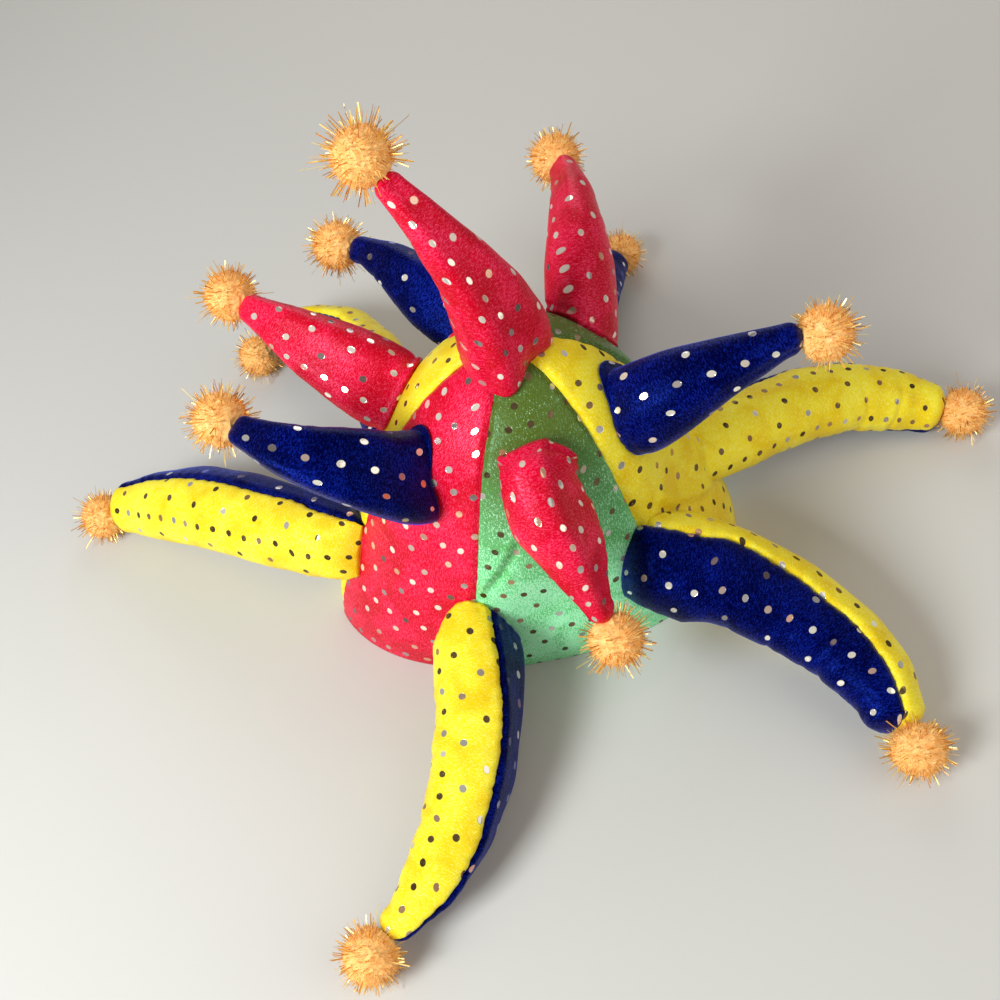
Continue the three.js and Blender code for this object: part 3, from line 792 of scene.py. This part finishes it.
def section(triangles, place, normal):
    """The points where a plane cuts the edges of triangles."""
    height = (triangles - place) @ normal
    cut = []
    for one, two in ((0, 1), (1, 2), (2, 0)):
        crossing = height[:, one] * height[:, two] < 0
        share = height[crossing, one] / (height[crossing, one] - height[crossing, two])
        start, end = triangles[crossing, one], triangles[crossing, two]
        cut.append(start + (end - start) * share[:, None])
    return np.concatenate(cut)


def across(forward):
    """Two directions across a forward direction, the first one level."""
    side = unit(np.cross((0.0, 0.0, 1.0), forward))
    return side, np.cross(forward, side)


def outline(points, place, side, up):
    """The convex outline of a section, flat, in order."""
    away = points - place
    flat = np.stack([away @ side, away @ up], axis=1)
    return flat[geometry.convex_hull_2d(flat.tolist())]


def middle_of(hull):
    """The middle of an outline's area."""
    following = np.roll(hull, -1, axis=0)
    areas = hull[:, 0] * following[:, 1] - following[:, 0] * hull[:, 1]
    return ((hull + following) * areas[:, None]).sum(0) / (3 * areas.sum())


def widest_gap(hull):
    """The widest angle between neighbouring corners of an outline, seen from its middle."""
    away = hull - middle_of(hull)
    angles = np.sort(np.degrees(np.arctan2(away[:, 1], away[:, 0])))
    return np.diff(np.append(angles, angles[0] + 360)).max()


def reaches(corners, angles):
    """How far an outline lies from the point that it is measured from, at each angle."""
    edges = np.roll(corners, -1, axis=0) - corners
    turn = np.sign((corners[:, 0] * edges[:, 1] - corners[:, 1] * edges[:, 0]).sum())
    normals = unit(turn * np.stack([edges[:, 1], -edges[:, 0]], axis=1) + TINY)
    offsets = (normals * corners).sum(1)
    facing = np.stack([np.cos(angles), np.sin(angles)], axis=1) @ normals.T
    least = SECTION_FACING_LEAST
    return np.where(facing > least, offsets / np.maximum(facing, least), np.inf).min(1)


def open_tube(name):
    """A horn's triangles without those that lie on the crown."""
    triangles = triangles_of(name)
    near = [crown_tree.find_nearest(Vector(corner))[3] < SEAT_NEAR for corner in triangles.reshape(-1, 3)]
    return triangles[~np.array(near).reshape(-1, 3).all(1)]


def fitted(tube, fit):
    """The tube made fuller and shifted to the right, looking along it as the photograph shows it."""
    if fit is None:
        return tube
    shares = np.clip(tube["along"] / tube["end"], 0, 1)
    fuller, shift = (np.interp(shares, np.linspace(0, 1, len(values)), values) * MM for values in fit)
    fuller, shift = smoothed(fuller, 2 * TUBE_SMOOTHING), smoothed(shift, 2 * TUBE_SMOOTHING)
    right = unit(np.cross(CAMERA_FORWARD, tube["forward"]))
    radii, fuller = tube["radii"], fuller[:, None]
    radii = radii + np.where(fuller > 0, fuller, fuller * radii / radii.mean(1, keepdims=True))
    return {**tube, "axis": tube["axis"] + shift[:, None] * right, "radii": radii}


def measure_tube(names, pompom):
    """A horn's axis and its reach at each angle, from its root to its tip, measured on its solids."""
    parts = [open_tube(name) for name in names]
    whole = np.concatenate(parts)
    corners = whole.reshape(-1, 3)
    ball = triangles_of(pompom).reshape(-1, 3).mean(0)
    tip = corners[np.linalg.norm(corners - ball, axis=1).argmin()]
    forward = unit(ball - tip)
    place = tip - forward * SECTION_STEP / 2
    centers, leans = [], []
    while True:
        points = section(whole, place, forward)
        if len(points) < SECTION_POINTS_LEAST:
            break
        side, up = across(forward)
        hull = outline(points, place, side, up)
        if widest_gap(hull) > SECTION_GAP:
            break
        flat = middle_of(hull)
        center = place + flat[0] * side + flat[1] * up
        if centers:
            forward = unit(forward + unit(centers[-1] - center))
        centers.append(center)
        if len(parts) == 2:
            halves = [section(part, place, forward).mean(0) for part in parts]
            leans.append(halves[0] - halves[1])
        place = center - forward * SECTION_STEP
    return tube_from(whole, np.array([*centers[::-1], tip]), np.array(leans[::-1]))


def tube_from(whole, centers, leans):
    """Even steps along the measured axis, its frames and its reaches."""
    steps = np.linalg.norm(np.diff(centers, axis=0), axis=1)
    knots = np.concatenate([[0], np.cumsum(steps)])
    along = np.arange(0, knots[-1], TUBE_STEP)
    axis = smoothed(between(along, knots, centers), TUBE_SMOOTHING, edges="odd")
    forward = unit(smoothed(np.gradient(axis, axis=0), TUBE_SMOOTHING, edges="edge"))
    if len(leans):
        side = smoothed(between(along, knots[:-1], leans), 2 * TUBE_SMOOTHING)
    else:
        side = carried_sides(forward)
    side = unit(side - (side * forward).sum(1, keepdims=True) * forward)
    up = np.cross(forward, side)
    angles = np.linspace(0, 2 * math.pi, SECTION_ANGLES, endpoint=False)
    radii = []
    for i in range(len(along)):
        points = section(whole, axis[i], forward[i])
        if len(points) < SECTION_POINTS_LEAST:
            radii.append(radii[-1] if radii else np.full(SECTION_ANGLES, np.nan))
            continue
        radii.append(reaches(outline(points, axis[i], side[i], up[i]), angles))
    radii = np.array(radii)
    cap = tip_start(radii, along, knots[-1])
    radii[cap:] = radii[cap - 1]
    radii = smoothed(smoothed(radii, TUBE_SMOOTHING), SECTION_SMOOTHING, axis=1, edges="wrap")
    if not len(leans):
        wide = 0.5 * np.angle((radii ** 2 * np.exp(2j * angles)).sum())
        side, up = math.cos(wide) * side + math.sin(wide) * up, math.cos(wide) * up - math.sin(wide) * side
        turned = np.mod(angles + wide, 2 * math.pi)
        closed = np.append(angles, 2 * math.pi)
        radii = np.array([np.interp(turned, closed, np.append(row, row[0])) for row in radii])
    return rooted({"along": along, "axis": axis, "forward": forward, "side": side, "up": up,
                   "radii": radii, "cap": along[cap], "end": knots[-1]}, whole)


def carried_sides(forward):
    """A side direction that starts level and is carried along the axis without turning about it."""
    side = across(forward[0])[0]
    sides = []
    for way in forward:
        side = unit(side - way * (side @ way))
        sides.append(side)
    return np.array(sides)


def tip_start(radii, along, end):
    """The first step from which the tip is round."""
    close = radii.mean(1) >= end - along
    return int(np.flatnonzero(close)[0]) if close.any() else len(along) - 2


def extended(tube, growth, narrowing):
    """The tube carried on into the crown, with a growing share of its bend there and a narrowing section."""
    near, far = (Vector(tube["forward"][step]) for step in ROOT_BEND_STEPS)
    axis, angle = far.rotation_difference(near).to_axis_angle()
    step_angle = angle / (ROOT_BEND_STEPS[1] - ROOT_BEND_STEPS[0])
    count = int(ROOT_EXTENSION / TUBE_STEP)
    added = {key: [] for key in ("axis", "forward", "side", "up")}
    place = Vector(tube["axis"][0])
    ways = {key: Vector(tube[key][0]) for key in ("forward", "side", "up")}
    for step in range(count):
        turn = Quaternion(axis, step_angle * (1 + growth * step / count))
        place = place - ways["forward"] * TUBE_STEP
        for key in ways:
            ways[key] = turn @ ways[key]
            added[key].insert(0, ways[key])
        added["axis"].insert(0, place)
    longer = dict(tube)
    for key in added:
        longer[key] = np.concatenate([np.array(added[key]), tube[key]])
    longer["along"] = np.concatenate([-np.arange(count, 0, -1) * TUBE_STEP, tube["along"]])
    shrink = 1 - narrowing * np.arange(count, 0, -1)[:, None] / count
    longer["radii"] = np.concatenate([shrink * tube["radii"][:1], tube["radii"]])
    return longer


def rooted(tube, whole):
    """The tube with the root that lies closest to the solids outside the crown."""
    tree = tree_of(whole)
    steps = np.arange(-ROOT_EXTENSION, 0, 2 * TUBE_STEP)
    angles = np.linspace(0, 2 * math.pi, ROOT_FIT_ANGLES, endpoint=False)
    along, angle = np.meshgrid(steps, angles, indexing="ij")

    def misfit(choice):
        points = tube_points(extended(tube, *choice), along, angle)
        outside = points[crown_clearance(points) > ROOT_FIT_CLEAR]
        return np.mean([tree.find_nearest(Vector(point))[3] for point in outside])

    choices = [(growth, narrowing) for growth in ROOT_GROWTHS for narrowing in ROOT_NARROWINGS]
    return extended(tube, *min(choices, key=misfit))


def tube_points(tube, along, angle, raised=0.0):
    """Points on the tube at lengths along it and angles round it, raised off its surface."""
    axis, side, up = (between(along, tube["along"], tube[key]) for key in ("axis", "side", "up"))
    radius = tube_radius(tube, along, angle) + raised
    into_cap = np.clip((along - tube["cap"]) / (tube["end"] - tube["cap"]), 0, 1)
    radius = radius * np.sqrt(1 - into_cap ** 2)
    away = np.cos(angle)[..., None] * unit(side) + np.sin(angle)[..., None] * unit(up)
    return axis + radius[..., None] * away


def tube_radius(tube, along, angle):
    """The tube's reach between the measured steps and angles, the same all along its tip."""
    along = np.minimum(along, tube["cap"]) - tube["along"][0]
    row = np.clip(along / TUBE_STEP, 0, len(tube["along"]) - 1 - JUST_UNDER)
    column = np.mod(angle / (2 * math.pi) * SECTION_ANGLES, SECTION_ANGLES)
    return between_cells(tube["radii"], row, column)


def base_line(tube, angles):
    """How far along the tube the crown is met, at each angle."""
    steps = np.arange(-ROOT_EXTENSION, tube["cap"], TUBE_STEP)
    along, angle = np.meshgrid(steps, angles, indexing="ij")
    clear = crown_clearance(tube_points(tube, along, angle)) + HORN_SINK
    found = []
    for column in range(len(angles)):
        inside = np.flatnonzero(clear[:, column] < 0)
        if not len(inside):
            found.append(steps[0])
            continue
        last = inside[-1]
        before, after = clear[last, column], clear[min(last + 1, len(steps) - 1), column]
        found.append(steps[last] + TUBE_STEP * np.clip(before / (before - after - TINY), 0, 1))
    return smoothed(np.array(found), BASE_SMOOTHING, edges="edge")


def seam_turn(tube, along):
    """How far the horn's seams are turned round it at lengths along it, in radians."""
    shares = np.clip(along / tube["end"], 0, 1)
    return np.radians(np.interp(shares, (0, 0.5, 1), tube["seam_turn"]))


def row_shares(length, cap_length):
    """Shares of a horn's length past its turned edge for its rows, the last ones round its tip."""
    rows = max(HORN_ROWS_LEAST, int((length - cap_length) / HORN_ROW_STEP))
    straight = np.linspace(0, 1 - cap_length / length, rows)
    turn = np.linspace(0, math.pi / 2, HORN_CAP_ROWS + 1)[1:-1]
    return np.concatenate([straight, straight[-1] + (1 - straight[-1]) * np.sin(turn)])


def corner_shares(angle, corner, width):
    """How much of a corner's pull is felt at each angle round the horn, in radians."""
    off = np.mod(np.degrees(angle) - corner + 180, 360) - 180
    return np.exp(-(off / width) ** 2)


def horn_relief(tube, points, along, angle, from_base, seam_distance, seed, kind, name):
    """How far the cloth stands off the plain tube."""
    lip, corners = HORN_LIPS.get(name, LIP_PLAIN), HORN_CORNERS.get(name, ())
    radius = tube_radius(tube, along, angle)
    roll = np.exp(-((from_base - LIP_PLACE) / LIP_WIDTH) ** 2)
    groove = np.exp(-((from_base - LIP_GROOVE_PLACE) / LIP_WIDTH) ** 2)
    lips = lip * (LIP_HEIGHT * roll - LIP_GROOVE * groove)
    pulled = sum(raised * MM * corner_shares(angle, *corner) for *corner, raised, _ in corners)
    pulled = pulled * np.exp(-(from_base / CORNER_LENGTH) ** 2)
    tuck = BASE_TUCK * np.exp(-from_base / BASE_TUCK_WIDTH)
    wander = GATHER_WANDER * bumps(points, GATHER_WANDER_LENGTH, seed)
    gathers = ripples(angle * radius, GATHER_LENGTH, wander)
    gather = GATHER_DEPTH[kind] * gathers * np.exp(-from_base / GATHER_REACH)
    lumps = STUFFING_LUMP[kind] * bumps(points, STUFFING_LUMP_LENGTH, seed + LUMP_SEED)
    seam = HORN_SEAM_TUCK[kind] * np.exp(-(seam_distance / HORN_SEAM_WIDTH) ** 2)
    wander = PUCKER_WANDER * bumps(points, HORN_WANDER_LENGTH, seed + PUCKER_SEED)
    pucker = HORN_PUCKER[kind] * ripples(along, PUCKER_LENGTH, wander)
    pucker = pucker * np.exp(-seam_distance / PUCKER_REACH)
    bend = between(along, tube["along"], np.gradient(tube["forward"], TUBE_STEP, axis=0))
    away = unit(points - tube_points(tube, along, angle, -AXIS_NEAR * radius))
    hollow = np.clip((bend * away).sum(-1) / BEND_FULL, 0, 1)
    folds = BEND_WRINKLE * hollow * ripples(along, BEND_WRINKLE_LENGTH, BEND_WANDER * wander)
    return lips + pulled + lumps - tuck - gather - seam - pucker - folds


def horn_grid(name, tube, angles, off_seam, seed, kind, turned_at=None):
    """Rows of points from the base to the tip, with the lengths along and the angles they stand at."""
    corners = HORN_CORNERS.get(name, ())
    drawn_back = sum(back * MM * corner_shares(angles, *corner) for *corner, _, back in corners)
    met = base_line(tube, angles + seam_turn(tube, 0.0))
    base = np.maximum(np.maximum(met, np.median(met) - BASE_BACK_MOST) - drawn_back, tube["along"][0])
    edge = base + EDGE_TURN * np.array(EDGE_ROWS)[:, None]
    start = base[None] + EDGE_TURN
    shares = row_shares(tube["end"] - start.mean(), tube["end"] - tube["cap"])
    along = np.concatenate([edge, start + (tube["end"] - start) * shares[:, None]])
    angle = np.broadcast_to(angles[None], along.shape)
    seam_distance = off_seam * tube_radius(tube, along, angle)
    angle = angle + seam_turn(tube, along)
    if turned_at:
        angle = angle + turned_at(along, angle)
    plain = tube_points(tube, along, angle)
    from_base = along - base[None]
    relief = horn_relief(tube, plain, along, angle, from_base, seam_distance, seed, kind, name)
    grid = turned_down(tube_points(tube, along, angle, relief), from_base)
    grid[..., 2] = np.maximum(grid[..., 2], FLOOR_CLEARANCE)
    return grid, along - edge_lengthening(grid, along, from_base), angle


def edge_lengthening(grid, along, from_base):
    """How much longer the cloth is, from each row on, where its edge is turned down."""
    longer = np.linalg.norm(np.diff(grid, axis=0), axis=-1) - np.diff(along, axis=0)
    longer = np.maximum(longer, 0) * (from_base[:-1] < EDGE_TURN_MOST)
    return np.concatenate([np.cumsum(longer[::-1], axis=0)[::-1], 0 * longer[:1]])


def cloth_coordinates(tube, along, angle, middle_angle, seed):
    """Cloth coordinates in millimetres: along the horn, and round it from a middle angle."""
    around = (angle - middle_angle) * tube_radius(tube, np.maximum(along, 0), angle)
    return np.stack([along, around], axis=-1) / MM + seed * np.array(HORN_CLOTH_SHIFT)


def raggedness(along, seed):
    """How far a seam's edge of pile strays to one side, the same for both halves."""
    line = np.stack([along, 0 * along, 0 * along], axis=-1)
    return sum(height * bumps(line, length, seed) for length, height in RAGGED_FORMS)


def half_horn(name, tube, middle_angle, seed):
    """One coloured half of a lower horn: half round outside, with a flat wall along the horn's seam."""
    quarter = math.pi / 2 - HALF_HORN_GAP
    turn = np.linspace(-1, 1, HORN_HALF_COLUMNS)
    angles = middle_angle + quarter * (turn + HALF_HORN_CROWDING * np.sin(math.pi * turn))
    off_middle = np.abs(angles - middle_angle)

    def ragged(along, angle):
        top, bottom = (raggedness(along, ragged_seed) for ragged_seed in RAGGED_SEEDS)
        wander = np.where(np.sin(angles) > 0, top, bottom)
        return (off_middle / quarter) ** RAGGED_FADE * wander / tube_radius(tube, along, angle)

    grid, along, angle = horn_grid(name, tube, angles, math.pi / 2 - off_middle, seed, "lower", ragged)
    wall_shares = np.linspace(0, 1, HORN_WALL_COLUMNS + 2)[1:-1]
    wall = grid[:, -1:] + (grid[:, :1] - grid[:, -1:]) * wall_shares[None, :, None]
    rings = np.concatenate([grid, wall], axis=1)
    uv = cloth_coordinates(tube, along, angle, middle_angle, seed)
    uv_wall = np.repeat(uv[:, -1:], HORN_WALL_COLUMNS + 1, axis=1)
    cloth_piece(name, *closed_tube(rings, np.concatenate([uv, uv_wall], axis=1)))


def whole_horn(name, tube, seed):
    """A horn of one colour, with a seam down each side."""
    angles = np.linspace(-math.pi / 2, 1.5 * math.pi, HORN_COLUMNS, endpoint=False)
    off_seam = np.abs(np.mod(angles + math.pi / 2, math.pi) - math.pi / 2)
    grid, along, angle = horn_grid(name, tube, angles, off_seam, seed, "plain")
    uv = cloth_coordinates(tube, along, angle, math.pi / 2, seed)
    last = cloth_coordinates(tube, along[:, :1], angle[:, :1] + 2 * math.pi, math.pi / 2, seed)
    cloth_piece(name, *closed_tube(grid, np.concatenate([uv, last], axis=1)))


def even_directions(count):
    """Directions spread evenly over a sphere."""
    number = np.arange(count) + 0.5
    rise = 1 - 2 * number / count
    turn = number * math.pi * (1 + math.sqrt(5))
    level = np.sqrt(1 - rise ** 2)
    return np.stack([level * np.cos(turn), level * np.sin(turn), rise], axis=1)


def spikes(center, ways, root, ends, widths, random, tilt, corners, blunt):
    """Points, faces and shades of three-sided spikes: pointed fibres, or flat strands with blunt ends."""
    count = len(ways)
    side = unit(np.cross(ways, random.normal(size=(count, 3))))
    up = np.cross(ways, side)
    leaning = unit(ways + tilt * random.normal(size=(count, 1)) * side)
    starts = center + ways * root
    tips = starts + leaning * (ends - root)[:, None]
    aways = [(x * side + y * up) * widths[:, None] for x, y in corners]
    rows = [starts + away for away in aways]
    rows += [tips + away for away in aways] if blunt else [tips]
    size = len(rows)
    faces = []
    for first in range(0, count * size, size):
        for one, two in ((0, 1), (1, 2), (2, 0)):
            far = (first + 3 + two, first + 3 + one) if blunt else (first + 3,)
            faces.append((first + one, first + two, *far))
        faces.append((first + 2, first + 1, first))
        if blunt:
            faces.append((first + 3, first + 4, first + 5))
    shades = np.repeat(random.random(count), size)
    return np.stack(rows, axis=1).reshape(-1, 3), faces, shades


def free_ways(forward, count, spread, random):
    """Directions from a pompom's middle, apart from those close to its horn's."""
    ways = unit(even_directions(count) + random.normal(0, spread, (count, 3)))
    return ways[ways @ -forward < HORN_COSINE]


def pompom_piece(name, tube, random):
    """A tinsel pompom: a core covered in short fibre, with tinsel strands that stand off it."""
    tip, forward = tube["axis"][-1], tube["forward"][-1]
    center = tip + forward * POMPOM_REACH
    ways = free_ways(forward, FIBRES, FIBRE_SPREAD, random)
    ends = random.uniform(*FIBRE_END, len(ways))
    widths = random.uniform(*FIBRE_WIDTHS, len(ways))
    fibres = spikes(center, ways, FIBRE_ROOT, ends, widths, random, FIBRE_TILT, FIBRE_SECTION, False)
    ways = free_ways(forward, STRANDS, STRAND_SPREAD, random)
    reach = (STRAND_END[1] - STRAND_END[0]) * random.random(len(ways)) ** STRAND_SHORTENING
    ends = STRAND_END[0] + reach * FULLER_POMPOMS.get(name, 1.0)
    ends += (random.random(len(ways)) < STRAY_SHARE) * STRAY_LENGTH
    widths = random.uniform(*STRAND_WIDTHS, len(ways))
    strands = spikes(center, ways, STRAND_ROOT, ends, widths, random, STRAND_TILT, STRAND_SECTION, True)
    points, faces, shades, materials = [], [], [], []
    parts = (strands, fibres, core_mesh(center, random))
    for material, (part_points, part_faces, part_shades) in zip((0, 1, 1), parts):
        start = sum(len(added) for added in points)
        points.append(part_points)
        faces.extend(tuple(start + corner for corner in face) for face in part_faces)
        shades.append(part_shades)
        materials.extend([material] * len(part_faces))
    points = np.concatenate(points)
    points[:, 2] = np.maximum(points[:, 2], FLOOR_CLEARANCE)
    piece = new_piece("fluff_" + name, points, faces, None, TINSEL, smooth=False)
    piece.data.materials.append(FIBRE)
    layer = piece.data.attributes.new("strand_shade", "FLOAT", "POINT")
    layer.data.foreach_set("value", np.concatenate(shades).astype(np.float32))
    piece.data.polygons.foreach_set("material_index", materials)
    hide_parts(name)


def core_mesh(center, random):
    """Points, faces and shades of the core's surface, roughened into tufts."""
    ball = bmesh.new()
    bmesh.ops.create_icosphere(ball, subdivisions=CORE_DETAIL, radius=1)
    ways = np.array([vertex.co for vertex in ball.verts])
    faces = [tuple(vertex.index for vertex in face.verts) for face in ball.faces]
    ball.free()
    height = POMPOM_CORE + random.uniform(-CORE_TUFT, CORE_TUFT, len(ways))
    points = center + ways * height[:, None]
    return points, faces, CORE_SHADE + CORE_SHADE_CHANGE * bumps(points, CORE_SHADE_LENGTH, CORE_SHADE_SEED)


def build_gores():
    """The six gores of the crown."""
    seams = seam_azimuths()
    for number, (name, curve) in enumerate(seams):
        following = seams[(number + 1) % len(seams)][1]
        gore_piece(name, curve, following, number + 1)


def build_horns():
    """Every horn with its pompom."""
    random = np.random.default_rng(RANDOM_SEED)
    pompoms = sorted(name for name in frame["nodes"] if name.startswith("pompom_"))
    for seed, pompom in enumerate(pompoms, start=1):
        tier, _, place = pompom.removeprefix("pompom_").partition("_")
        horn = f"{tier}_horn_{place}".rstrip("_")
        names = [f"{horn}_blue", f"{horn}_yellow"] if tier == "lower" else [horn]
        measured = measure_tube(names, pompom)
        tube = fitted(measured, HORN_FITS.get(horn)) | {"seam_turn": SEAM_TURNS.get(horn, NO_TURN)}
        if tier == "lower":
            half_horn(names[0], tube, 0.0, seed)
            half_horn(names[1], tube, math.pi, seed + YELLOW_SEED)
        else:
            whole_horn(horn, tube, seed)
        pompom_piece(pompom, measured, random)


def area_light(name, place, aim_height, size, watts, color):
    """A soft light that faces a point above the middle of the floor."""
    data = bpy.data.lights.new(name, "AREA")
    data.size = size
    data.energy = watts
    data.color = color
    light = bpy.data.objects.new(name, data)
    light.location = place
    aim = Vector((0, 0, aim_height))
    light.rotation_euler = (aim - Vector(place)).to_track_quat("-Z", "Y").to_euler()
    bpy.context.scene.collection.objects.link(light)


def build_stage():
    """A pale floor, soft lights and a pale surrounding."""
    mesh = bpy.data.meshes.new("floor")
    corners = [(x * FLOOR_HALF, y * FLOOR_HALF, 0) for x, y in ((-1, -1), (1, -1), (1, 1), (-1, 1))]
    mesh.from_pydata(corners, [], [(0, 1, 2, 3)])
    floor = bpy.data.objects.new("floor", mesh)
    graph = Graph("floor")
    graph.fill(graph.shader, {"Base Color": FLOOR_COLOR, "Roughness": FLOOR_ROUGHNESS})
    mesh.materials.append(graph.material)
    bpy.context.scene.collection.objects.link(floor)
    for name, settings in LIGHTS.items():
        area_light(name, *settings)
    world = bpy.data.worlds.new("pale")
    world.use_nodes = True
    background = world.node_tree.nodes["Background"]
    background.inputs["Color"].default_value = WORLD_COLOR
    background.inputs["Strength"].default_value = WORLD_STRENGTH
    bpy.context.scene.world = world
    bpy.context.scene.view_settings.view_transform = "Standard"


def build_camera():
    """The camera where the photograph was taken from."""
    down, roll = math.radians(CAMERA_DOWN), math.radians(CAMERA_ROLL)
    forward = Vector(CAMERA_FORWARD)
    level, above = Vector((1, 0, 0)), Vector((0, math.sin(down), math.cos(down)))
    right = math.cos(roll) * level + math.sin(roll) * above
    turned = Matrix((right, right.cross(forward), -forward)).transposed().to_4x4()
    data = bpy.data.cameras.new("camera")
    data.lens = CAMERA_LENS
    camera = bpy.data.objects.new("camera", data)
    camera.matrix_world = Matrix.Translation(CAMERA_PLACE) @ turned
    bpy.context.scene.collection.objects.link(camera)
    bpy.context.scene.camera = camera


build_gores()
build_horns()
build_stage()
build_camera()
